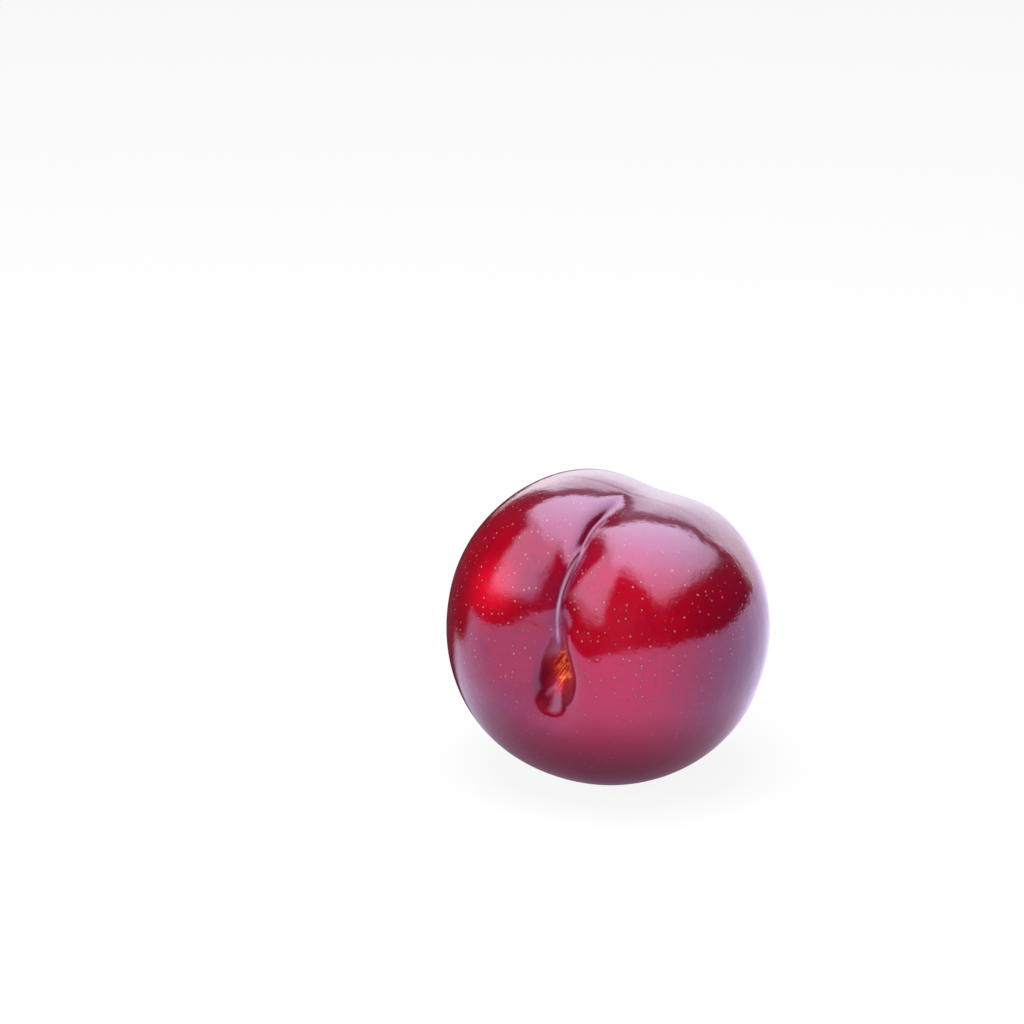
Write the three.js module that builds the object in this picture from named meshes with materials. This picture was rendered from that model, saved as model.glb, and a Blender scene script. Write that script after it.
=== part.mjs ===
// A ripe, round, dark red plum with no stem, lying on its side on a small flat spot.
// Millimetres, +Z up. The stem end faces -Y and the suture runs back over the top. The origin is on
// the surface that the fruit rests on, straight below the fruit's heart.

import * as THREE from "three";
import { mergeVertices } from "three/addons/utils/BufferGeometryUtils.js";

// Half sizes, from the heart to the skin, before any groove is pressed in
const RIGHT_CHEEK = 31.8;
const LEFT_CHEEK = 30.2;
const SUTURE_SIDE = 30.1;
const BELLY_SIDE = 30.35;
const STEM_END = 29.2;
const BLOSSOM_END = 30.2;
const FULLNESS = 2.085; // 2 would be an ellipsoid, and more makes squarer shoulders

// How the fruit lies
const LEAN = THREE.MathUtils.degToRad(9.5); // the suture leans towards +X
const DIP = THREE.MathUtils.degToRad(2); // the stem end points a little down
const SETTLED = 0.72; // how much of its underside the rest spot takes off
const SPOT_EDGE = 0.15; // the rest spot meets the skin over twice this height

// The suture's line. Angles are degrees from the stem end, and distances are mm to the +X side
const SWAY = -2.45; // it bends to the left on its way up from the hollow
const SWAY_AT = 35;
const SWAY_SPREAD = 27.5;
const DRIFT = 3.4; // and drifts to the right behind the top
const DRIFT_AT = 105;
const DRIFT_SPREAD = 30;
const CLEAR_OF_AXIS = [-2, 10.5]; // it fades out where it is less far above the stem axis

// The suture's cross section, a broad valley with a crease along its bottom
const VALLEY_DEPTH = 2.3;
const VALLEY_LEFT_WIDTH = 11;
const VALLEY_RIGHT_WIDTH = 8.7;
const VALLEY_STARTS = [-16, 24];
const VALLEY_SHALLOWS = [115, 175];
const VALLEY_KEPT = 0.25; // share of its depth that reaches the blossom end
const CREASE_DEPTH = 0.9;
const CREASE_OFF = [0.3, -1.8]; // how far its bottom is from the line, at the hollow and on the top
const CREASE_SLIDES = [42, 66];
const CREASE_LEFT_WIDTH = [1.1, 1.5]; // the left lobe stands steeper on the top
const CREASE_RIGHT_WIDTH = [1.9, 4.0];
const CREASE_WIDENS = [30, 60];
const CREASE_SHARPNESS = 1.3; // 2 would be a rounded bottom, and less makes it sharper
const CREASE_STARTS = [9, 20];
const CREASE_DEEPENS = [27, 54];
const CREASE_DEEPER = 2.1; // times as deep on the top
const CREASE_SOFTENS = [68, 90];
const CREASE_KEPT = 0.04; // share of that which is left behind the top
const CREASE_ENDS = [150, 176];

// The hollow that the stem stood in, a bowl with a steep funnel, drawn out to a point at the suture
const HOLLOW_MIDDLE = { side: 0.4, above: -1.8 };
const HOLLOW_SIDE = 4.7;
const HOLLOW_BELOW = 7.3;
const HOLLOW_ABOVE = 10.4;
const HOLLOW_FULLNESS = 2.4; // 2 would be an oval, and more makes a squarer floor
const POINT_NARROWING = 0.5; // share of its width that is lost at the point
const POINT_BEND = 1.8; // the point bends this far to the left
const BEND_GROWS = 1.5; // more makes it bend later
const BOWL_DEPTH = 1.4;
const BOWL_SPREAD = 1.25;
const FUNNEL_DEPTH = 9.2; // as far down as its straight walls would meet
const FUNNEL_RIM = 0.28; // how far the rim is rounded, as a share of the half width
const FUNNEL_BOTTOM = 0.32; // and how far the bottom is

// The left lobe is pressed in beside the hollow
const FLANK_DEPTH = 2.35;
const FLANK_MIDDLE = { side: -5, above: 1.4 };
const FLANK_WIDTH = 6.65;

// The blossom end, a shallow dimple round a small point
const DIMPLE_DEPTH = 0.7;
const DIMPLE_WIDTH = 6;
const TIP_HEIGHT = 0.9;
const TIP_WIDTH = 1.5;

// The gentle unevenness of the whole skin, as waves in the direction from the heart
const SWELL_ROUND = { height: 0.12, across: 4.3, along: 3.7, starts: [1.1, -0.6] };
const SWELL_ACROSS = { height: 0.08, up: 5.1, across: 2, starts: 2.2 };
const SWELL_ALONG = { height: 0.06, along: 6.3, up: 3.1 };

// The net of the skin: meridians from the stem end, closer together at the suture and in the hollow
const MERIDIANS = 104;
const RINGS = 54;
const CLOSER_AT_SUTURE = 0.55;
const CLOSER_AT_STEM = 0.6;

const { clamp, degToRad, lerp, radToDeg, smoothstep } = THREE.MathUtils;
const bell = (distance, width) => Math.exp(-((distance / width) ** 2));
const sharpBell = (distance, width, power) => Math.exp(-(Math.abs(distance / width) ** power));
const rising = (value, [from, to]) => smoothstep(value, from, to);

// Distance from the heart to the plain body in the direction x, y, z
function bodyRadius(x, y, z) {
  const across = lerp(LEFT_CHEEK, RIGHT_CHEEK, (1 + x) / 2);
  const upright = lerp(BELLY_SIDE, SUTURE_SIDE, (1 + y) / 2);
  const along = lerp(BLOSSOM_END, STEM_END, (1 + z) / 2);
  const sum =
    Math.abs(x / across) ** FULLNESS +
    Math.abs(y / upright) ** FULLNESS +
    Math.abs(z / along) ** FULLNESS;
  return sum ** (-1 / FULLNESS);
}

// How far to the side the suture's line is, at a polar angle in degrees from the stem end
function sutureSide(polar) {
  return SWAY * bell(polar - SWAY_AT, SWAY_SPREAD) + DRIFT * bell(polar - DRIFT_AT, DRIFT_SPREAD);
}

// Depth of the suture at side mm from the meridian plane and above mm from the stem axis
function sutureDepth(side, above, polar) {
  const off = side - sutureSide(polar);
  const valley =
    VALLEY_DEPTH *
    rising(polar, VALLEY_STARTS) *
    lerp(1, VALLEY_KEPT, rising(polar, VALLEY_SHALLOWS)) *
    bell(off, off < 0 ? VALLEY_LEFT_WIDTH : VALLEY_RIGHT_WIDTH);
  const creaseOff = off - lerp(...CREASE_OFF, rising(polar, CREASE_SLIDES));
  const widths = creaseOff < 0 ? CREASE_LEFT_WIDTH : CREASE_RIGHT_WIDTH;
  const creaseWidth = lerp(...widths, rising(polar, CREASE_WIDENS));
  const crease =
    CREASE_DEPTH *
    rising(polar, CREASE_STARTS) *
    lerp(1, CREASE_DEEPER, rising(polar, CREASE_DEEPENS)) *
    lerp(1, CREASE_KEPT, rising(polar, CREASE_SOFTENS)) *
    (1 - rising(polar, CREASE_ENDS)) *
    sharpBell(creaseOff, creaseWidth, CREASE_SHARPNESS);
  return (valley + crease) * rising(above, CLEAR_OF_AXIS);
}

// Depth of the stem's hollow. "out" is 0 in its middle and about 1 at its rim
function hollowDepth(side, above) {
  const up = above - HOLLOW_MIDDLE.above;
  const towardsPoint = clamp(up / HOLLOW_ABOVE, 0, 1);
  const off = side - HOLLOW_MIDDLE.side + POINT_BEND * towardsPoint ** BEND_GROWS;
  const halfWidth = HOLLOW_SIDE * (1 - POINT_NARROWING * smoothstep(towardsPoint, 0, 1));
  const halfHeight = up > 0 ? HOLLOW_ABOVE : HOLLOW_BELOW;
  const out =
    (Math.abs(off / halfWidth) ** HOLLOW_FULLNESS + Math.abs(up / halfHeight) ** HOLLOW_FULLNESS) **
    (1 / HOLLOW_FULLNESS);
  const inside = 1 - Math.hypot(out, FUNNEL_BOTTOM);
  const funnel = (FUNNEL_DEPTH * (inside + Math.hypot(inside, FUNNEL_RIM))) / 2;
  const flank = Math.hypot(side - FLANK_MIDDLE.side, above - FLANK_MIDDLE.above);
  return BOWL_DEPTH * bell(out, BOWL_SPREAD) + funnel + FLANK_DEPTH * bell(flank, FLANK_WIDTH);
}

function blossomHeight(off) {
  return TIP_HEIGHT * bell(off, TIP_WIDTH) - DIMPLE_DEPTH * bell(off, DIMPLE_WIDTH);
}

function swellHeight(x, y, z) {
  return (
    SWELL_ROUND.height *
      Math.sin(SWELL_ROUND.across * x + SWELL_ROUND.starts[0]) *
      Math.cos(SWELL_ROUND.along * z + SWELL_ROUND.starts[1]) +
    SWELL_ACROSS.height *
      Math.sin(SWELL_ACROSS.up * y + SWELL_ACROSS.across * x + SWELL_ACROSS.starts) +
    SWELL_ALONG.height * Math.cos(SWELL_ALONG.along * z + SWELL_ALONG.up * y)
  );
}

// The skin in the fruit's own frame, with the stem end along +Z and the suture along +Y
function skinPoint(direction, target) {
  const { x, y, z } = direction;
  const body = bodyRadius(x, y, z);
  const side = body * x;
  const above = body * y;
  const polar = radToDeg(Math.acos(clamp(z, -1, 1)));
  let radius = body + swellHeight(x, y, z) - sutureDepth(side, above, polar);
  if (z > 0) radius -= hollowDepth(side, above);
  else radius += blossomHeight(Math.hypot(side, above));
  return target.set(x, y, z).multiplyScalar(radius);
}

// The direction that a point of the even net is moved to
function netDirection(even, turn, target) {
  const polar = even - (CLOSER_AT_STEM * Math.sin(even) * (1 + Math.cos(even))) / 2;
  const reach = SUTURE_SIDE * Math.sin(polar);
  const lineTurn = Math.asin(clamp(sutureSide(radToDeg(polar)) / Math.max(reach, 1), -1, 1));
  const nearLine = (1 + Math.cos(turn)) / 2;
  const around = turn - CLOSER_AT_SUTURE * Math.sin(turn) + lineTurn * Math.sin(polar) * nearLine;
  return target.set(
    Math.sin(polar) * Math.sin(around),
    Math.sin(polar) * Math.cos(around),
    Math.cos(polar),
  );
}

// Presses what would be under the surface flat onto it, with a rounded edge
function pressed(height) {
  if (height <= -SPOT_EDGE) return 0;
  if (height >= SPOT_EDGE) return height;
  return (height + SPOT_EDGE) ** 2 / (4 * SPOT_EDGE);
}

function plumGeometry() {
  const net = new THREE.SphereGeometry(1, MERIDIANS, RINGS);
  net.deleteAttribute("normal");
  net.deleteAttribute("uv");
  const lying = new THREE.Matrix4()
    .makeTranslation(0, 0, BELLY_SIDE - SETTLED)
    .multiply(new THREE.Matrix4().makeRotationX(DIP))
    .multiply(new THREE.Matrix4().makeRotationY(LEAN))
    .multiply(new THREE.Matrix4().makeRotationX(degToRad(90)));
  const points = net.getAttribute("position");
  const point = new THREE.Vector3();
  for (let i = 0; i < points.count; i++) {
    // The sphere's poles are on Y, so that axis becomes the fruit's stem axis
    point.fromBufferAttribute(points, i);
    const even = Math.acos(clamp(point.y, -1, 1));
    const turn = Math.atan2(-point.x, point.z);
    netDirection(even, turn, point);
    skinPoint(point, point).applyMatrix4(lying);
    points.setXYZ(i, point.x, point.y, pressed(point.z));
  }
  const closed = mergeVertices(net, 1e-3);
  closed.computeVertexNormals();
  return closed;
}

const skin = new THREE.MeshStandardMaterial({
  color: new THREE.Color(0.3, 0.006, 0.02),
  roughness: 0.25,
  metalness: 0,
});

const plum = new THREE.Mesh(plumGeometry(), skin);
plum.name = "plum";

const group = new THREE.Group();
group.add(plum);

export default group;
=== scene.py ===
# %% [markdown]
# # A dark red plum
#
# This lesson dresses one ripe plum that lies on its side on a pale table. The plain solid of the fruit
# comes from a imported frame, at its real size. Here it gets a finer skin with the torn scar where the
# stem stood, and a finish with pores, mottling and a thin bloom of wax. Everything is in metres.

# %% Load the frame
import math

import bmesh
import bpy
from mathutils import Matrix, Vector, noise


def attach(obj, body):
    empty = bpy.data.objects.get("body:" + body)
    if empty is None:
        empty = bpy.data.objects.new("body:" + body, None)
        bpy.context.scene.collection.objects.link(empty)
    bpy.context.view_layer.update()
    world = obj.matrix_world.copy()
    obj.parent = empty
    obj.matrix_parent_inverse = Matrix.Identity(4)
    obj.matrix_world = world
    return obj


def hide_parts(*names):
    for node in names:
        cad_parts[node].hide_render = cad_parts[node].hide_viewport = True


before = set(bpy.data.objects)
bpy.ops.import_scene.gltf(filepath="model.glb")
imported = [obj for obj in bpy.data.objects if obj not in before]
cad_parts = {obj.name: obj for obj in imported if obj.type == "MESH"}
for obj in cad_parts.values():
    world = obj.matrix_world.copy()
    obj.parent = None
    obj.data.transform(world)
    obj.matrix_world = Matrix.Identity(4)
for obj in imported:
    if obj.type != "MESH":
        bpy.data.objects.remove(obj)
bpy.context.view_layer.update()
MM = 0.001

# %% [markdown]
# ## The camera
#
# A fruit this small is photographed with a long lens, which keeps it from bulging. The camera stands to
# the right of the stem end and looks a little down. It could aim at the fruit itself, but the picture
# shows the fruit low and to the right, so it aims at a point beside and above the fruit's heart.

# %% Camera
HEART = Vector((0, 0, 29.63 * MM))
CAMERA_TURN = math.radians(20.5)
CAMERA_RISE = math.radians(19)
CAMERA_DISTANCE = 547 * MM
AIM_LEFT = 18.0 * MM
AIM_UP = 21.5 * MM

towards_camera = Vector((
    math.sin(CAMERA_TURN) * math.cos(CAMERA_RISE),
    -math.cos(CAMERA_TURN) * math.cos(CAMERA_RISE),
    math.sin(CAMERA_RISE),
))
camera_right = Vector((math.cos(CAMERA_TURN), math.sin(CAMERA_TURN), 0))
camera_up = towards_camera.cross(camera_right)

lens = bpy.data.cameras.new("camera")
lens.lens = 100
lens.sensor_width = 36
lens.clip_start = 0.01
camera = bpy.data.objects.new("camera", lens)
camera.location = HEART + towards_camera * CAMERA_DISTANCE
aim = HEART - camera_right * AIM_LEFT + camera_up * AIM_UP
camera.rotation_euler = (aim - camera.location).to_track_quat("-Z", "Y").to_euler()
bpy.context.scene.collection.objects.link(camera)
bpy.context.scene.camera = camera
print("camera at, mm:", [round(value / MM) for value in camera.location])

# %% [markdown]
# ## The shape of the fruit
#
# A plum is nearly a ball with fuller cheeks. A sculpted mesh could hold it, but each part of it is a
# simple curve, so the shape is a formula: the distance from the fruit's heart to the skin, less what
# the suture and the hollow take away. The fruit's own frame has the stem end along +Z and the suture
# along +Y. Sizes are in millimetres until the mesh is placed, and angles in degrees from the stem end.

# %% Body
RIGHT_CHEEK = 31.8
LEFT_CHEEK = 30.2
SUTURE_SIDE = 30.1
BELLY_SIDE = 30.35
STEM_END = 29.2
BLOSSOM_END = 30.2
FULLNESS = 2.085  # 2 would be an ellipsoid, and more makes squarer shoulders
SWELL_ROUND = 0.12
SWELL_ACROSS = 0.08
SWELL_ALONG = 0.06


def between(low, high, share):
    return low + (high - low) * share


def rising(value, low, high):
    share = min(max((value - low) / (high - low), 0), 1)
    return share * share * (3 - 2 * share)


def bell(distance, width, power=2.0):
    return math.exp(-(abs(distance / width) ** power))


def body_radius(x, y, z):
    across = between(LEFT_CHEEK, RIGHT_CHEEK, (1 + x) / 2)
    upright = between(BELLY_SIDE, SUTURE_SIDE, (1 + y) / 2)
    along = between(BLOSSOM_END, STEM_END, (1 + z) / 2)
    total = abs(x / across) ** FULLNESS + abs(y / upright) ** FULLNESS + abs(z / along) ** FULLNESS
    return total ** (-1 / FULLNESS)


def swell(x, y, z):
    return (
        SWELL_ROUND * math.sin(4.3 * x + 1.1) * math.cos(3.7 * z - 0.6)
        + SWELL_ACROSS * math.sin(5.1 * y + 2 * x + 2.2)
        + SWELL_ALONG * math.cos(6.3 * z + 3.1 * y)
    )


print("cheek to cheek, mm:", RIGHT_CHEEK + LEFT_CHEEK)

# %% [markdown]
# ## The suture
#
# The suture is where the edges of the fruit's wall grew together. It runs from the hollow of the stem
# over the top to the blossom end, as a broad valley with a narrow crease, and a thin seam stands up in
# it close to the hollow. It could be cut along a drawn curve, but a depth that falls off like a bell
# on both sides of a wandering line blends into the cheeks by itself, and may be steeper on one side.
# Painted shade darkens the crease, and a painted highlight lies along the seam's lip.

# %% Suture
SWAY, SWAY_AT, SWAY_SPREAD = -2.45, 35, 27.5
DRIFT, DRIFT_AT, DRIFT_SPREAD = 3.4, 105, 30
CLEAR_OF_AXIS = (-2, 10.5)  # the suture fades out where it is less far above the stem axis
VALLEY_DEPTH = 2.3
VALLEY_LEFT_WIDTH = 11
VALLEY_RIGHT_WIDTH = 8.7
VALLEY_STARTS = (-16, 24)
VALLEY_SHALLOWS = (115, 175)
VALLEY_KEPT = 0.25
CREASE_DEPTH = 0.9
CREASE_OFF = (0.3, -1.8)  # from the line, at the hollow and on the top
CREASE_SLIDES = (42, 66)
CREASE_LEFT_WIDTH = (1.1, 1.5)  # the left lobe stands steeper there
CREASE_RIGHT_WIDTH = (1.9, 4.0)
CREASE_WIDENS = (30, 60)
CREASE_SHARPNESS = 1.3  # 2 would be a rounded bottom, and less makes it sharper
CREASE_STARTS = (9, 20)
CREASE_DEEPENS = (27, 54)
CREASE_DEEPER = 2.1
CREASE_SOFTENS = (68, 90)
CREASE_KEPT = 0.04
CREASE_ENDS = (150, 176)


def suture_side(polar):
    """How far to the side the suture is, at an angle in degrees from the stem end."""
    return SWAY * bell(polar - SWAY_AT, SWAY_SPREAD) + DRIFT * bell(polar - DRIFT_AT, DRIFT_SPREAD)


def crease_middle(polar):
    return suture_side(polar) + between(*CREASE_OFF, rising(polar, *CREASE_SLIDES))


def crease_share(polar):
    starts = rising(polar, *CREASE_STARTS)
    deepens = between(1, CREASE_DEEPER, rising(polar, *CREASE_DEEPENS))
    softens = between(1, CREASE_KEPT, rising(polar, *CREASE_SOFTENS))
    return starts * deepens * softens * (1 - rising(polar, *CREASE_ENDS))


# %% Seam and depth
# where the painted highlight lies along the seam
SEAM_OFF = -0.2
SEAM_WIDTH = 0.2
SEAM_ENDS = (58, 36)
SEAM_CLEAR_OF_AXIS = (5, 8)
SEAM_LIP_HEIGHT = 0.2
SEAM_LIP_WIDTH = 0.6
SEAM_LIP_OFF = -0.55
SEAM_LIP_ENDS = (64, 40)
# where painted shade darkens the crease
CREASE_SHADE_WIDTH = (2.2, 0.9)
CREASE_SHADE_NARROWS = (40, 60)
CREASE_SHADE_ENDS = (84, 72)
CREASE_SHADE_CLEAR_OF_AXIS = (4, 10)


def suture_depth(side, above, polar):
    off = side - suture_side(polar)
    width = VALLEY_LEFT_WIDTH if off < 0 else VALLEY_RIGHT_WIDTH
    kept = between(1, VALLEY_KEPT, rising(polar, *VALLEY_SHALLOWS))
    valley = VALLEY_DEPTH * rising(polar, *VALLEY_STARTS) * kept
    crease_off = side - crease_middle(polar)
    crease_widths = CREASE_LEFT_WIDTH if crease_off < 0 else CREASE_RIGHT_WIDTH
    crease_width = between(*crease_widths, rising(polar, *CREASE_WIDENS))
    crease = CREASE_DEPTH * bell(crease_off, crease_width, CREASE_SHARPNESS)
    lip = SEAM_LIP_HEIGHT * bell(off - SEAM_LIP_OFF, SEAM_LIP_WIDTH) * rising(polar, *SEAM_LIP_ENDS)
    depth = valley * bell(off, width) + crease_share(polar) * (crease - lip)
    return depth * rising(above, *CLEAR_OF_AXIS)


def suture_marks(side, above, polar):
    """Where painted shade darkens the crease and where a painted highlight lies along the seam, both from 0
    to 1.
    """
    shade_width = between(*CREASE_SHADE_WIDTH, rising(polar, *CREASE_SHADE_NARROWS))
    crease = bell(side - crease_middle(polar), shade_width)
    crease *= rising(polar, *CREASE_SHADE_ENDS) * rising(above, *CREASE_SHADE_CLEAR_OF_AXIS)
    seam_highlight = bell(side - suture_side(polar) - SEAM_OFF, SEAM_WIDTH)
    seam_highlight *= rising(polar, *SEAM_ENDS) * rising(above, *SEAM_CLEAR_OF_AXIS)
    return crease, seam_highlight


TOP = 60
print("suture on the top, mm deep:", round(suture_depth(crease_middle(TOP), SUTURE_SIDE, TOP), 1))

# %% [markdown]
# ## The hollow and its scar
#
# The stem stood in a steep hollow that runs out to a point at the suture. Pulling the stem off tore the
# skin at the bottom, so the scar there is a ragged orange patch of fibres. It could be a bump in the
# finish only, but it is close to the camera and catches the light, so its ridges are real relief.

# %% Hollow
HOLLOW_MIDDLE = (0.4, -1.8)
HOLLOW_SIDE = 4.7
HOLLOW_BELOW = 7.3
HOLLOW_ABOVE = 10.4
HOLLOW_FULLNESS = 2.4
POINT_NARROWING = 0.5
POINT_BEND = 1.8
BOWL_DEPTH = 1.4
BOWL_SPREAD = 1.25
FUNNEL_DEPTH = 9.2  # as far down as its straight walls would meet
FUNNEL_RIM = 0.28
FUNNEL_BOTTOM = 0.32
FLANK_DEPTH = 2.35
FLANK_MIDDLE = (-5, 1.4)
FLANK_WIDTH = 6.65


def hollow_out(side, above):
    """0 in the middle of the hollow and about 1 at its rim."""
    up = above - HOLLOW_MIDDLE[1]
    towards_point = min(max(up / HOLLOW_ABOVE, 0), 1)
    off = side - HOLLOW_MIDDLE[0] + POINT_BEND * towards_point ** 1.5
    half_width = HOLLOW_SIDE * (1 - POINT_NARROWING * rising(towards_point, 0, 1))
    half_height = HOLLOW_ABOVE if up > 0 else HOLLOW_BELOW
    total = abs(off / half_width) ** HOLLOW_FULLNESS + abs(up / half_height) ** HOLLOW_FULLNESS
    return total ** (1 / HOLLOW_FULLNESS)


def hollow_depth(side, above, out):
    inside = 1 - math.hypot(out, FUNNEL_BOTTOM)
    funnel = FUNNEL_DEPTH * (inside + math.hypot(inside, FUNNEL_RIM)) / 2
    flank = math.hypot(side - FLANK_MIDDLE[0], above - FLANK_MIDDLE[1])
    return BOWL_DEPTH * bell(out, BOWL_SPREAD) + funnel + FLANK_DEPTH * bell(flank, FLANK_WIDTH)


print("hollow, mm deep:", round(hollow_depth(*HOLLOW_MIDDLE, hollow_out(*HOLLOW_MIDDLE)), 1))

# %% Scar
SCAR_MIDDLE = (0.9, -0.2)
SCAR_SIDE = 2.9
SCAR_UP = 5.5
SCAR_EDGE = (0.72, 1.08)
SCAR_RAGGED = 0.3
FIBRE_HEIGHT = 0.3
FIBRE_SLANT = math.radians(26)
COARSE_FIBRES = (1.05, 0.2)  # how often they change, per mm across and along them
FINE_FIBRES = (4.5, 0.9)


def scar_marks(side, above):
    """How torn the skin is, and how high the fibres stand there, both from 0 to 1."""
    out = math.hypot((side - SCAR_MIDDLE[0]) / SCAR_SIDE, (above - SCAR_MIDDLE[1]) / SCAR_UP)
    if out > 1.5:
        return 0.0, 0.0
    ragged = SCAR_RAGGED * noise.noise(Vector((side * 0.8, above * 0.6, 3.1)))
    along = above * math.cos(FIBRE_SLANT) + side * math.sin(FIBRE_SLANT)
    across = side * math.cos(FIBRE_SLANT) - above * math.sin(FIBRE_SLANT)
    coarse = noise.noise(Vector((across * COARSE_FIBRES[0], along * COARSE_FIBRES[1], 7.7)))
    fine = noise.noise(Vector((across * FINE_FIBRES[0], along * FINE_FIBRES[1], 1.3)))
    fibre = 1 - abs(coarse) * 2.1 + 0.35 * fine
    return 1 - rising(out + ragged, *SCAR_EDGE), min(max(fibre, 0), 1)


print("scar, mm wide and high:", SCAR_SIDE * 2, SCAR_UP * 2)

# %% [markdown]
# ## The blossom end and the whole skin
#
# Where the flower stood, a small dry point is left in a shallow dimple. A tiny cone could be joined to
# the skin, but two bells, one up and one down, make it in one piece with the rest. Then everything is
# added up to one distance from the heart, and the places that the finish needs are noted beside it.

# %% Blossom end
DIMPLE_DEPTH, DIMPLE_WIDTH = 0.7, 6
TIP_HEIGHT, TIP_WIDTH = 0.9, 1.5


def blossom_height(off):
    return TIP_HEIGHT * bell(off, TIP_WIDTH) - DIMPLE_DEPTH * bell(off, DIMPLE_WIDTH)


# %% Skin point
INSIDE_REACH = 0.85
TIP_MARK_WIDTH = 1.2


def skin_point(direction):
    """The point of the skin in a direction, and what the finish wants to know about it there."""
    x, y, z = direction
    body = body_radius(x, y, z)
    side = body * x
    above = body * y
    polar = math.degrees(math.acos(min(max(z, -1), 1)))
    radius = body + swell(x, y, z) - suture_depth(side, above, polar)
    crease, seam_highlight = suture_marks(side, above, polar)
    inside = scar = fibre = tip = 0.0
    if z > 0:
        out = hollow_out(side, above)
        scar, fibre = scar_marks(side, above)
        radius -= hollow_depth(side, above, out) - scar * fibre * FIBRE_HEIGHT
        inside = bell(out, INSIDE_REACH, 4)
    else:
        from_tip = math.hypot(side, above)
        radius += blossom_height(from_tip)
        tip = bell(from_tip, TIP_MARK_WIDTH)
    return direction * radius, (inside, scar, fibre, crease, seam_highlight, tip)


print("heart to blossom end, mm:", round(skin_point(Vector((0, 0, -1)))[0].length, 1))

# %% [markdown]
# ## The net of the skin
#
# The skin is a globe of meridians that start at the stem end, as they do on the fruit. An even globe
# would waste points on the plain cheeks, so the net is drawn closer along the suture and in the hollow.
# The points are moved by the formula, and what would lie under the table is pressed flat against it.

# %% Net
MERIDIANS = 352
RINGS = 264
CLOSER_AT_SUTURE = 0.6
CLOSER_AT_STEM = 0.72
LEAN = math.radians(9.5)
DIP = math.radians(2)
SPOT_EDGE = 0.15


def net_direction(direction):
    even = math.acos(min(max(direction.z, -1), 1))
    turn = math.atan2(direction.x, direction.y)
    polar = even - CLOSER_AT_STEM * math.sin(even) * (1 + math.cos(even)) / 2
    reach = max(SUTURE_SIDE * math.sin(polar), 1)
    line_turn = math.asin(min(max(suture_side(math.degrees(polar)) / reach, -1), 1))
    near_line = math.sin(polar) * (1 + math.cos(turn)) / 2
    around = turn - CLOSER_AT_SUTURE * math.sin(turn) + line_turn * near_line
    return Vector((
        math.sin(polar) * math.sin(around),
        math.sin(polar) * math.cos(around),
        math.cos(polar),
    ))


def pressed(height):
    if height <= -SPOT_EDGE:
        return 0
    if height >= SPOT_EDGE:
        return height
    return (height + SPOT_EDGE) ** 2 / (4 * SPOT_EDGE)


# %% Make the skin
MARKS = ("inside", "scar", "fibre", "crease", "seam_highlight", "tip")


def make_plum():
    lying = (
        Matrix.Translation(HEART / MM)
        @ Matrix.Rotation(DIP, 4, "X")
        @ Matrix.Rotation(LEAN, 4, "Y")
        @ Matrix.Rotation(math.radians(90), 4, "X")
    )
    bm = bmesh.new()
    bmesh.ops.create_uvsphere(bm, u_segments=MERIDIANS, v_segments=RINGS, radius=1)
    layers = [bm.verts.layers.float.new(name) for name in MARKS]
    grown = bm.verts.layers.float_vector.new("grown")
    for vert in bm.verts:
        direction = net_direction(vert.co.normalized())
        point, marks = skin_point(direction)
        for layer, value in zip(layers, marks):
            vert[layer] = value
        vert[grown] = direction
        place = lying @ point
        place.z = pressed(place.z)
        vert.co = place * MM
    bmesh.ops.recalc_face_normals(bm, faces=bm.faces)
    for face in bm.faces:
        face.smooth = True
    mesh = bpy.data.meshes.new("plum_skin")
    bm.to_mesh(mesh)
    bm.free()
    plum = bpy.data.objects.new("plum_skin", mesh)
    bpy.context.scene.collection.objects.link(plum)
    return plum


plum_skin = make_plum()
print("skin triangles:", sum(len(face.vertices) - 2 for face in plum_skin.data.polygons))

# %% [markdown]
# ## Small helpers for node trees
#
# A finish is a tree of nodes. Adding each node by hand takes many lines, so one helper adds a node,
# sets its properties and fills or links its inputs.

# %% Node helpers
def add_node(tree, kind, inputs=None, **settings):
    node = tree.nodes.new(kind)
    for name, value in settings.items():
        setattr(node, name, value)
    for name, value in (inputs or {}).items():
        if isinstance(value, bpy.types.NodeSocket):
            tree.links.new(value, node.inputs[name])
        else:
            node.inputs[name].default_value = value
    return node


def calc(tree, operation, first, second=0.0):
    return add_node(tree, "ShaderNodeMath", {0: first, 1: second}, operation=operation).outputs[0]


def ramp_up(tree, value, low, high, to_low=0.0, to_high=1.0):
    """A value that rises smoothly from to_low to to_high while the input goes from low to high."""
    inputs = {"Value": value, "From Min": low, "From Max": high, "To Min": to_low, "To Max": to_high}
    return add_node(tree, "ShaderNodeMapRange", inputs, interpolation_type="SMOOTHSTEP").outputs["Result"]


def mix_colours(tree, share, first, second):
    """The node has sockets for each kind of value, and 0, 6, 7 and output 2 are those for colours."""
    return add_node(tree, "ShaderNodeMix", {0: share, 6: first, 7: second}, data_type="RGBA").outputs[2]


def read_mark(tree, name, output="Fac"):
    return add_node(tree, "ShaderNodeAttribute", attribute_name=name).outputs[output]


def cloud(tree, where, scale, detail=3.0, roughness=0.5):
    inputs = {"Vector": where, "Scale": scale, "Detail": detail, "Roughness": roughness}
    return add_node(tree, "ShaderNodeTexNoise", inputs).outputs["Fac"]


# %% [markdown]
# ## The colours, painted light and painted shade of the skin
#
# The skin is clear and nearly black-red over yellow flesh. Its colour wanders between crimson and
# maroon in patches and in faint streaks from the stem end. Painted light makes it scarlet on the upper
# left cheek and rose low at the front right, and painted shade makes it wine-dark on the right shoulder,
# at the foot and in a small spot high at the front. It is mauve on the top, where the wax bloom has not
# been rubbed off. An image could hold all this, but it would look right from one side only, so every
# colour, painted light and painted shade is a pattern of places on the fruit.

# %% Places on the fruit
def near_place(tree, where, place, spread):
    """1 at a place on the fruit, and 0 farther from it than spread."""
    inputs = {0: where, 1: place}
    away = add_node(tree, "ShaderNodeVectorMath", inputs, operation="DISTANCE").outputs["Value"]
    return ramp_up(tree, away, spread, 0.0)
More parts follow.
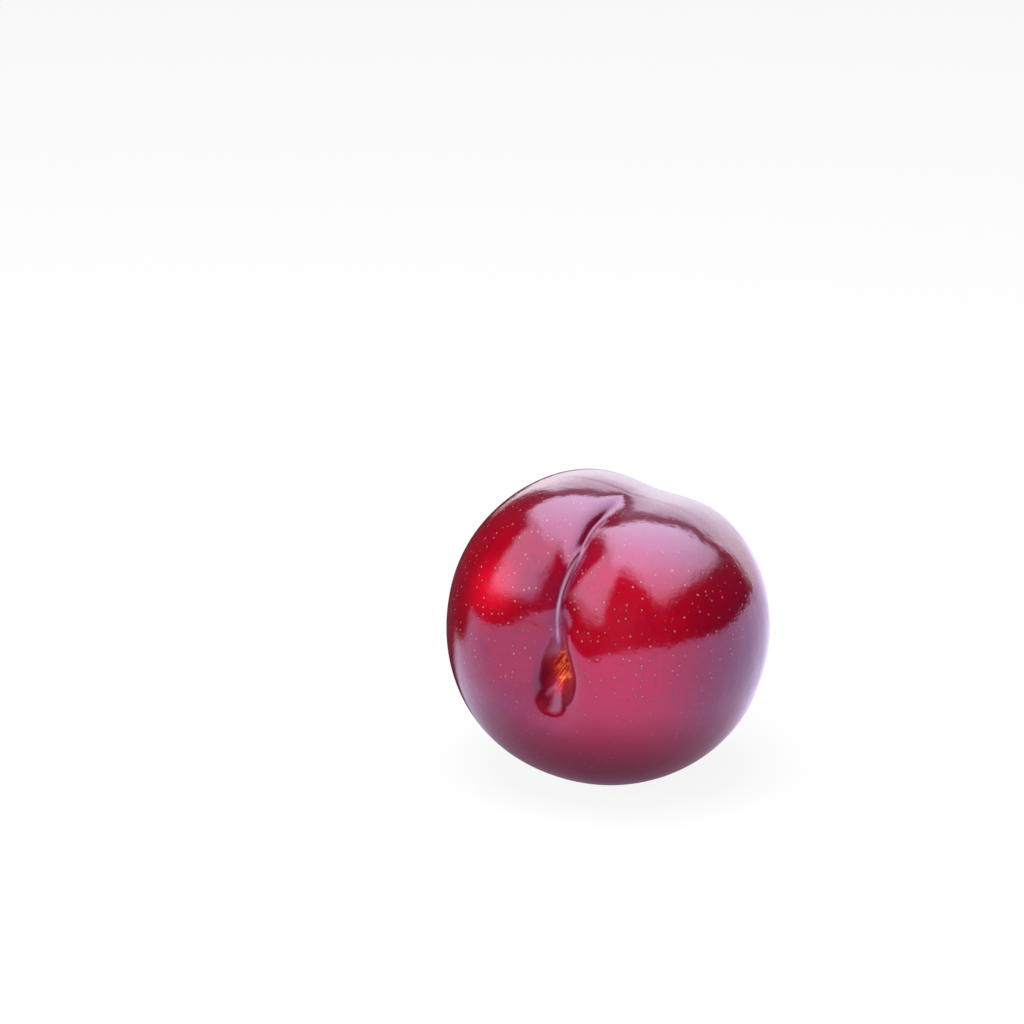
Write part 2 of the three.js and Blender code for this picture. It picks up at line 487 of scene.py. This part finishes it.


# %% Skin colours, painted light and painted shade
CRIMSON = (0.31, 0.001, 0.009, 1)
MAROON = (0.19, 0.0012, 0.013, 1)
SCARLET_LIT = (0.74, 0.004, 0.022, 1)
ROSE = (0.56, 0.003, 0.024, 1)
WINE_SHADE = (0.11, 0.003, 0.030, 1)
MAUVE = (0.075, 0.010, 0.032, 1)
PATCHES = (  # colour, middle and reach in mm, and the most of it
    # painted light: the scarlet patch on the upper left cheek
    (SCARLET_LIT, (-14, -23, 42), 9, 0.75),
    # painted light: this rose patch low at the front right
    (ROSE, (15, -25, 24), 23, 0.9),
    (ROSE, (13, -18, 47), 15, 0.55),
    # painted shade: the wine patches on the right shoulder, at the foot and in a small spot high at the front
    (WINE_SHADE, (31, -5, 30), 22, 0.8),
    (WINE_SHADE, (-20, -20, 8), 27, 0.85),
    (WINE_SHADE, (7, -15, 0), 26, 0.75),
    (WINE_SHADE, (-4, -25, 45), 8, 0.5),
)
BLOOM_FROM, BLOOM_TO = 46 * MM, 59 * MM
BLOOM_TO_RIGHT = 0.22  # it comes lower on the right
STREAK_STRETCH = (16, 16, 1.5)


def bloom_share(tree, where):
    """0 where the bloom is rubbed off, and 1 on the top."""
    to_right, _, height = add_node(tree, "ShaderNodeSeparateXYZ", {0: where}).outputs
    reach = calc(tree, "ADD", height, calc(tree, "MULTIPLY", to_right, BLOOM_TO_RIGHT))
    return ramp_up(tree, reach, BLOOM_FROM, BLOOM_TO)


def skin_colour(tree, where, grown, top):
    wandering = ramp_up(tree, cloud(tree, where, 70, 4), 0.38, 0.66)
    stretched = add_node(tree, "ShaderNodeMapping", {"Vector": grown, "Scale": STREAK_STRETCH}).outputs[0]
    streaks = ramp_up(tree, cloud(tree, stretched, 1.0, 3), 0.40, 0.70)
    darker = calc(tree, "MULTIPLY", calc(tree, "ADD", wandering, streaks), 0.32)
    colour = mix_colours(tree, darker, CRIMSON, MAROON)
    for patch, middle, reach, most in PATCHES:
        near = near_place(tree, where, Vector(middle) * MM, reach * MM)
        colour = mix_colours(tree, calc(tree, "MULTIPLY", near, most), colour, patch)
    return mix_colours(tree, calc(tree, "MULTIPLY", top, 0.8), colour, MAUVE)


print("patches of colour:", len(PATCHES))

# %% [markdown]
# ## Colours, painted shade and painted highlights of the hollow, its scar and the seam
#
# Less wax lies in the hollow, so it is a duller rose there, with painted shade darkest at its lower rim
# and a painted lilac reflection on its upper left wall. The torn fibres of the scar are orange, with
# painted shade in the grooves between them and a pale painted highlight on their ridges, and the seam
# carries a painted highlight. These places could be found by their coordinates again, but the skin
# already carries them as marks on its points.

# %% Scar colours, painted shade and painted highlight
# the dark red is painted shade in the fibre grooves and also the blossom end's dry tip, the orange is the
# torn flesh, and the pale colour is a painted highlight on the ridges
SCAR_GROOVE_SHADE_AND_DRY_TIP = (0.34, 0.006, 0.003, 1)
SCAR_ORANGE = (0.66, 0.05, 0.004, 1)
SCAR_RIDGE_HIGHLIGHT = (0.95, 0.36, 0.10, 1)


def scar_colour_shade_and_highlight(tree, where, fibre):
    # painted shade in the grooves between the fibres
    torn = mix_colours(tree, ramp_up(tree, fibre, 0.15, 0.65), SCAR_GROOVE_SHADE_AND_DRY_TIP, SCAR_ORANGE)
    # a pale painted highlight on the tops of the ridges
    grain = ramp_up(tree, cloud(tree, where, 1400, 2), 0.35, 0.60)
    ridge_highlight = calc(tree, "MULTIPLY", ramp_up(tree, fibre, 0.72, 0.95), grain)
    return mix_colours(tree, ridge_highlight, torn, SCAR_RIDGE_HIGHLIGHT)


# %% Hollow and seam colours, painted shade, painted reflection and painted highlight
# a painted lilac highlight along the seam's lip
SEAM_HIGHLIGHT = (0.70, 0.50, 0.66, 1)
HOLLOW = (0.46, 0.026, 0.065, 1)
# painted shade for the hollow's rim, and a painted reflection for its upper left wall
LOWER_RIM_SHADE = (0.12, 0.001, 0.008, 1)
LILAC_WALL_REFLECTION = (0.58, 0.25, 0.47, 1)


def hollow_tint_shade_and_reflection(tree, grown, inside, colour):
    grown_side, grown_above, _ = add_node(tree, "ShaderNodeSeparateXYZ", {0: grown}).outputs
    colour = mix_colours(tree, calc(tree, "MULTIPLY", inside, 0.6), colour, HOLLOW)
    # painted shade around the hollow's rim, darkest at its lower side
    rim_shade = calc(tree, "MULTIPLY", inside, calc(tree, "SUBTRACT", 1.0, inside))
    rim_shade = calc(tree, "MULTIPLY", rim_shade, ramp_up(tree, grown_above, 0.08, -0.08, 0.8, 3.6))
    colour = mix_colours(tree, rim_shade, colour, LOWER_RIM_SHADE)
    # a painted lilac reflection on the hollow's upper left wall
    above = ramp_up(tree, grown_above, 0.02, 0.13)
    wall_reflection = calc(tree, "MULTIPLY", above, ramp_up(tree, grown_side, -0.01, -0.06))
    wall_reflection = calc(tree, "MULTIPLY", calc(tree, "MULTIPLY", wall_reflection, inside), 0.95)
    return mix_colours(tree, wall_reflection, colour, LILAC_WALL_REFLECTION)


def paint_seam_highlight(tree, seam_highlight, colour):
    return mix_colours(tree, calc(tree, "MULTIPLY", seam_highlight, 0.75), colour, SEAM_HIGHLIGHT)


# %% [markdown]
# ## Pores and bloom
#
# The skin breathes through tiny pale pores with a dark ring, and the bloom is a thin haze of wax. Pores
# could be hundreds of dots of geometry, but they are far too small for that, so a cell pattern gives
# each one a place, and its distance from the middle draws the dot and the ring.

# %% Pores and bloom
PORE = (0.80, 0.24, 0.22, 1)
PORE_RING = (0.13, 0.001, 0.006, 1)
BLOOM = (0.40, 0.20, 0.36, 1)
PORES_PER_METRE = 880
PORES_FADE = (14 * MM, 34 * MM)  # they get fainter from the upper height down to the lower one


def pore_masks(tree, where):
    """The pale middle and the dark ring of each pore, stronger in some than in others."""
    spots = add_node(tree, "ShaderNodeTexVoronoi", {"Vector": where, "Scale": PORES_PER_METRE}, feature="F1")
    away = spots.outputs["Distance"]
    chance = add_node(tree, "ShaderNodeSeparateColor", {"Color": spots.outputs["Color"]}).outputs["Red"]
    strength = ramp_up(tree, chance, 0.15, 0.95)
    ring = calc(tree, "MULTIPLY", ramp_up(tree, away, 0.44, 0.24), strength)
    core = calc(tree, "MULTIPLY", ramp_up(tree, away, 0.25, 0.12), strength)
    return core, ring


def pores_shown(tree, where, inside, top):
    _, _, height = add_node(tree, "ShaderNodeSeparateXYZ", {0: where}).outputs
    shown = ramp_up(tree, top, 0.0, 1.0, 0.6, 0.2)
    shown = calc(tree, "MULTIPLY", shown, calc(tree, "SUBTRACT", 1.0, inside))
    return calc(tree, "MULTIPLY", shown, ramp_up(tree, height, *PORES_FADE, 0.3, 1.0))


def bloom_haze(tree, where):
    clouds = ramp_up(tree, cloud(tree, where, 110, 5, 0.6), 0.42, 0.72)
    return calc(tree, "MULTIPLY", clouds, ramp_up(tree, cloud(tree, where, 1500, 2), 0.30, 0.75))


print("pores are about this far apart, mm:", round(1 / PORES_PER_METRE / MM, 1))

# %% [markdown]
# ## The skin material
#
# The wax throws light back sharply, and lilac rather than white. A second coat over the skin could do
# that, but the skin's own gloss with a tint looks the same and is simpler. It is duller where the bloom
# lies, in the hollow and on the scar, and fine waves in it make the edges of the reflections wander.

# %% Skin gloss
GLOSS_TINT = (0.86, 0.60, 1.0, 1)
SHEEN_TINT = (0.72, 0.66, 1.0, 1)
WAVE_HEIGHT = 0.4 * MM


def skin_roughness(tree, haze, scar, inside):
    rough = calc(tree, "ADD", ramp_up(tree, haze, 0.0, 1.0, 0.12, 0.22), calc(tree, "MULTIPLY", scar, 0.25))
    return calc(tree, "ADD", rough, calc(tree, "MULTIPLY", inside, 0.16))


def skin_bump(tree, where, core):
    waves = cloud(tree, where, 180, 3)
    grain = cloud(tree, where, 2600, 2)
    relief = calc(tree, "ADD", waves, calc(tree, "MULTIPLY", grain, 0.06))
    relief = calc(tree, "ADD", relief, calc(tree, "MULTIPLY", core, 0.05))
    inputs = {"Height": relief, "Strength": 0.35, "Distance": WAVE_HEIGHT}
    return add_node(tree, "ShaderNodeBump", inputs).outputs["Normal"]


# %% Skin material
def skin_material():
    material = bpy.data.materials.new("plum_skin")
    material.use_nodes = True
    tree = material.node_tree
    tree.nodes.clear()
    where = add_node(tree, "ShaderNodeTexCoord").outputs["Object"]
    grown = read_mark(tree, "grown", "Vector")
    inside, scar, fibre, crease, seam_highlight, tip = (read_mark(tree, name) for name in MARKS)

    top = bloom_share(tree, where)
    haze = bloom_haze(tree, where)
    core, ring = pore_masks(tree, where)
    shown = pores_shown(tree, where, inside, top)
    colour = skin_colour(tree, where, grown, top)
    colour = mix_colours(tree, calc(tree, "MULTIPLY", ring, shown), colour, PORE_RING)
    colour = mix_colours(tree, calc(tree, "MULTIPLY", core, shown), colour, PORE)
    colour = mix_colours(tree, calc(tree, "MULTIPLY", calc(tree, "MULTIPLY", haze, top), 0.05), colour, BLOOM)
    # painted shade darkens the skin along the crease
    colour = mix_colours(tree, calc(tree, "MULTIPLY", crease, 0.6), colour, WINE_SHADE)
    # painted shade at the hollow's rim and a painted reflection on its upper left wall
    colour = hollow_tint_shade_and_reflection(tree, grown, inside, colour)
    # a painted highlight along the seam's lip
    colour = paint_seam_highlight(tree, seam_highlight, colour)
    # the scar's orange, with painted shade in its grooves and a painted highlight on its ridges
    colour = mix_colours(tree, scar, colour, scar_colour_shade_and_highlight(tree, where, fibre))
    colour = mix_colours(tree, tip, colour, SCAR_GROOVE_SHADE_AND_DRY_TIP)

    shader = add_node(tree, "ShaderNodeBsdfPrincipled", {
        "Base Color": colour,
        "Roughness": skin_roughness(tree, haze, scar, inside),
        "Normal": skin_bump(tree, where, core),
        "IOR": 1.5,
        "Specular IOR Level": 0.9,
        "Specular Tint": GLOSS_TINT,
        "Sheen Weight": 0.05,
        "Sheen Roughness": 0.35,
        "Sheen Tint": SHEEN_TINT,
    })
    output = tree.nodes.new("ShaderNodeOutputMaterial")
    tree.links.new(shader.outputs["BSDF"], output.inputs["Surface"])
    return material


plum_skin.data.materials.append(skin_material())
print("skin nodes:", len(plum_skin.data.materials[0].node_tree.nodes))

# %% [markdown]
# ## The table
#
# The fruit lies on a plain pale table. A white sheet would do, but it would throw so much light up that
# the fruit's underside would glow. So the camera sees a white table with a faint shadow, the wax mirrors
# a glowing table, brighter at the front, with a painted shadow at the fruit's foot and painted dark
# wedges at its left, and little light comes up from it.

# %% Table
TABLE_REACH = 2.5
TABLE_COLOUR = (0.9, 0.89, 0.92, 1)
PAINTED_REFLECTION_COLOUR = (0.94, 0.92, 1.22, 1)
UPWARD_GLOW = 0.07
WHITENESS = 0.89  # the rest is the sheet with its shadow


def make_table():
    bm = bmesh.new()
    bmesh.ops.create_grid(bm, x_segments=1, y_segments=1, size=TABLE_REACH)
    mesh = bpy.data.meshes.new("table")
    bm.to_mesh(mesh)
    bm.free()
    table = bpy.data.objects.new("table", mesh)
    mesh.materials.append(table_material())
    bpy.context.scene.collection.objects.link(table)
    return table


def table_material():
    material = bpy.data.materials.new("table")
    material.use_nodes = True
    tree = material.node_tree
    tree.nodes.clear()
    sheet = add_node(tree, "ShaderNodeBsdfDiffuse", {"Color": TABLE_COLOUR}).outputs[0]
    white = add_node(tree, "ShaderNodeEmission", {"Strength": 1.0}).outputs[0]
    # the wax sees the table as a glow with a painted shadow at the fruit's foot and painted dark wedges at
    # its left
    inputs = {"Color": PAINTED_REFLECTION_COLOUR, "Strength": painted_reflection_strength(tree)}
    painted_reflection = add_node(tree, "ShaderNodeEmission", inputs).outputs[0]
    upward = add_node(tree, "ShaderNodeEmission", {"Strength": UPWARD_GLOW}).outputs[0]
    path = add_node(tree, "ShaderNodeLightPath").outputs
    seen = add_node(tree, "ShaderNodeMixShader", {0: WHITENESS, 1: sheet, 2: white}).outputs[0]
    seen = add_node(tree, "ShaderNodeMixShader", {0: path["Is Glossy Ray"], 1: seen, 2: painted_reflection}).outputs[0]
    seen = add_node(tree, "ShaderNodeMixShader", {0: path["Is Diffuse Ray"], 1: seen, 2: upward}).outputs[0]
    output = tree.nodes.new("ShaderNodeOutputMaterial")
    tree.links.new(seen, output.inputs["Surface"])
    return material


# the painted shadow and the painted dark wedges in the table's reflection
FOOT_SHADOW_REACH = (14 * MM, 56 * MM)
FOOT_SHADOW_STRENGTH = (0.2, 1.4)
NEAR_WEDGE = (26 * MM, 40 * MM)
FAR_WEDGE = (90 * MM, 140 * MM)


def painted_reflection_strength(tree):
    """How bright the table glows in the wax: a painted shadow at the fruit's foot and two painted dark wedges
    at its left.
    """
    where = add_node(tree, "ShaderNodeTexCoord").outputs["Object"]
    split = add_node(tree, "ShaderNodeSeparateXYZ", {0: where}).outputs
    away = add_node(tree, "ShaderNodeVectorMath", {0: where}, operation="LENGTH").outputs["Value"]
    turn = turn_of(tree, split["X"], split["Y"])
    foot_shadow = ramp_up(tree, away, *FOOT_SHADOW_REACH, *FOOT_SHADOW_STRENGTH)
    right = ramp_up(tree, turn, 60, 140, 1.0, 1.2)
    near_left = calc(tree, "MULTIPLY", ramp_up(tree, turn, -94, -106), ramp_up(tree, away, *NEAR_WEDGE))
    far_left = calc(tree, "MULTIPLY", ramp_up(tree, turn, -76, -90), ramp_up(tree, away, *FAR_WEDGE))
    left = calc(tree, "MULTIPLY", calc(tree, "MAXIMUM", near_left, far_left), ramp_up(tree, turn, -168, -150))
    return calc(tree, "MULTIPLY", calc(tree, "MULTIPLY", foot_shadow, right), calc(tree, "SUBTRACT", 1.0, left))


def turn_of(tree, x, y):
    """The direction over the ground in degrees: 0 at the front, 90 at the right and -90 at the left."""
    return calc(tree, "MULTIPLY", calc(tree, "ARCTAN2", x, calc(tree, "MULTIPLY", y, -1.0)), 180 / math.pi)


table = make_table()
print("table, m:", [round(value, 2) for value in table.dimensions])

# %% [markdown]
# ## The studio
#
# A glossy fruit mostly shows the room. A wide soft light hangs over the table, a lower one stands at
# the front left, a white sheet hangs behind, and the camera's side is dark. Lamps could draw these,
# but their edges would be hard, so the room that the wax mirrors is a smooth pattern of directions in
# the world. Three soft lamps and an even glow light the colours themselves.

# %% Lamps
def make_lamp(name, place, size, watts):
    light = bpy.data.lights.new(name, "AREA")
    light.shape = "DISK"
    light.size = size
    light.energy = watts
    lamp = bpy.data.objects.new(name, light)
    lamp.location = place
    lamp.rotation_euler = (HEART - lamp.location).to_track_quat("-Z", "Y").to_euler()
    lamp.visible_camera = False
    lamp.visible_glossy = False
    bpy.context.scene.collection.objects.link(lamp)
    return lamp


lamps = [
    make_lamp("lamp_above", Vector((0.0, -0.15, 1.1)), 0.9, 11),
    make_lamp("lamp_front", Vector((0.2, -0.95, 0.3)), 0.7, 4.5),
    make_lamp("lamp_left", Vector((-0.6, -0.85, 0.55)), 0.5, 4.0),
]
print("lamps, W:", [lamp.data.energy for lamp in lamps])

# %% [markdown]
# ## The room in the wax
#
# Each light is a mask over the directions from the fruit. The wide one lies on a flat ceiling, where a
# direction's x and y are divided by its height, so its straight edges bend over the round fruit as a
# real soft box's do. The others are given by their turn over the ground and their rise in degrees.

# %% Light over the table
WIDE_STRENGTH = 6.6
WIDE_MIDDLE = (0.1, 0.5)
WIDE_FADE = 0.6
FRONT_EDGE = (-0.62, -0.28)  # each edge goes from dark to lit
FRONT_SLANT = 0.44
LEFT_EDGE = (-0.78, -0.42)
LEFT_SLANT = 0.6
RIGHT_EDGE = (1.75, 1.15)
BACK_EDGE = (0.74, 0.63)
BACK_SLANT = 0.6
BACK_BEND = 0.8
LOWEST_RISE = (6.0, 14.0)


def light_above(tree, flat_x, flat_y, rise):
    """The wide light, on a flat ceiling: its front edge slants, and its left and right edges are soft."""
    to_right = calc(tree, "MULTIPLY", calc(tree, "MAXIMUM", flat_x, 0.0), FRONT_SLANT)
    front = ramp_up(tree, calc(tree, "ADD", flat_y, to_right), *FRONT_EDGE)
    back = ramp_up(tree, from_back(tree, flat_x, flat_y), *BACK_EDGE)
    leaning = calc(tree, "ADD", flat_x, calc(tree, "MULTIPLY", flat_y, LEFT_SLANT))
    left = ramp_up(tree, leaning, *LEFT_EDGE)
    right = ramp_up(tree, flat_x, *RIGHT_EDGE)
    lit = calc(tree, "MULTIPLY", calc(tree, "MULTIPLY", front, back), calc(tree, "MULTIPLY", left, right))
    lit = calc(tree, "MULTIPLY", lit, ramp_up(tree, rise, *LOWEST_RISE))
    off_x = calc(tree, "POWER", calc(tree, "ABSOLUTE", calc(tree, "SUBTRACT", flat_x, WIDE_MIDDLE[0])), 2.0)
    off_y = calc(tree, "POWER", calc(tree, "ABSOLUTE", calc(tree, "SUBTRACT", flat_y, WIDE_MIDDLE[1])), 2.0)
    square = calc(tree, "ADD", off_x, off_y)
    fade = calc(tree, "ADD", 1.0, calc(tree, "MULTIPLY", square, WIDE_FADE))
    falloff = calc(tree, "DIVIDE", WIDE_STRENGTH, fade)
    return calc(tree, "MULTIPLY", lit, falloff)


def from_back(tree, flat_x, flat_y):
    """How far back a place on the ceiling is. The wide light reaches farther back at its right end."""
    past_bend = calc(tree, "MAXIMUM", calc(tree, "SUBTRACT", flat_x, BACK_BEND), 0.0)
    reach = calc(tree, "MULTIPLY", calc(tree, "MAXIMUM", flat_x, 0.0), BACK_SLANT)
    more = calc(tree, "MULTIPLY", past_bend, BACK_SLANT)
    return calc(tree, "SUBTRACT", flat_y, calc(tree, "ADD", reach, more))


# %% Light at the front left
LEFT_STRENGTH = 2.6
LEFT_TURN = (-78, -62)
RIGHT_TURN = (-5, -19)
LEFT_RISE = (10, 27)
LEFT_LEANS_ABOVE = 32.0
LEFT_LEAN = 0.9


def light_left(tree, turn, rise):
    over = calc(tree, "MAXIMUM", calc(tree, "SUBTRACT", rise, LEFT_LEANS_ABOVE), 0.0)
    over = calc(tree, "MULTIPLY", over, LEFT_LEAN)
    left = ramp_up(tree, calc(tree, "ADD", turn, over), *LEFT_TURN)
    sides = calc(tree, "MULTIPLY", left, ramp_up(tree, turn, *RIGHT_TURN))
    lit = calc(tree, "MULTIPLY", sides, ramp_up(tree, rise, *LEFT_RISE))
    return calc(tree, "MULTIPLY", lit, LEFT_STRENGTH)


# %% Sheet behind
SHEET_PAST_BACK = 4.0  # degrees from straight behind, towards the left
SHEET_HALF = (37, 29)
SHEET_TOP = (1.0, 1.14)
SHEET_STRENGTH = (1.9, 3.0)  # at the table and 20 degrees up
GAP_TOP = (0.70, 0.85)
GAP_STRENGTH = 0.5


def sheet_behind(tree, turn, rise, back):
    """A white sheet behind, with a narrow dim gap between it and the wide light."""
    off = calc(tree, "ABSOLUTE", calc(tree, "SUBTRACT", turn, SHEET_PAST_BACK))
    off = calc(tree, "ABSOLUTE", calc(tree, "SUBTRACT", off, 180.0))
    across = ramp_up(tree, off, *SHEET_HALF)
    lit = calc(tree, "MULTIPLY", across, ramp_up(tree, back, *SHEET_TOP))
    lit = calc(tree, "MULTIPLY", lit, ramp_up(tree, rise, 0, 20, *SHEET_STRENGTH))
    gap = calc(tree, "MULTIPLY", across, ramp_up(tree, back, *GAP_TOP))
    return calc(tree, "MAXIMUM", lit, calc(tree, "MULTIPLY", gap, GAP_STRENGTH))


# %% World
STUDIO_TINT = (0.93, 0.96, 0.99, 1)
EVEN_GLOW = 0.34


def make_world():
    world = bpy.data.worlds.new("studio")
    bpy.context.scene.world = world
    world.use_nodes = True
    world.cycles.sampling_method = "NONE"
    tree = world.node_tree
    tree.nodes.clear()
    direction = add_node(tree, "ShaderNodeTexCoord").outputs["Generated"]
    split = add_node(tree, "ShaderNodeSeparateXYZ", {0: direction}).outputs
    x, y, z = split["X"], split["Y"], split["Z"]
    rise = calc(tree, "MULTIPLY", calc(tree, "ARCSINE", z), 180 / math.pi)
    turn = turn_of(tree, x, y)
    height = calc(tree, "MAXIMUM", z, 0.04)
    flat_x = calc(tree, "DIVIDE", x, height)
    flat_y = calc(tree, "DIVIDE", y, height)

    lit = calc(tree, "MAXIMUM", light_above(tree, flat_x, flat_y, rise), light_left(tree, turn, rise))
    behind = sheet_behind(tree, turn, rise, from_back(tree, flat_x, flat_y))
    lit = calc(tree, "MAXIMUM", lit, behind)
    studio = add_node(tree, "ShaderNodeBackground", {"Color": STUDIO_TINT, "Strength": lit}).outputs[0]
    inputs = {"Color": (1, 1, 1, 1), "Strength": EVEN_GLOW}
    glow = add_node(tree, "ShaderNodeBackground", inputs).outputs[0]
    inputs = {"Color": (1, 1, 1, 1), "Strength": 1.0}
    white = add_node(tree, "ShaderNodeBackground", inputs).outputs[0]
    path = add_node(tree, "ShaderNodeLightPath").outputs
    seen = add_node(tree, "ShaderNodeMixShader", {0: path["Is Glossy Ray"], 1: glow, 2: studio}).outputs[0]
    seen = add_node(tree, "ShaderNodeMixShader", {0: path["Is Camera Ray"], 1: seen, 2: white}).outputs[0]
    output = tree.nodes.new("ShaderNodeOutputWorld")
    tree.links.new(seen, output.inputs["Surface"])


make_world()
bpy.context.scene.view_settings.view_transform = "Standard"
print("world nodes:", len(bpy.context.scene.world.node_tree.nodes))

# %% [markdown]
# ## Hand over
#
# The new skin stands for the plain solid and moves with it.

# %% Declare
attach(plum_skin, "root")
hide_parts("plum")
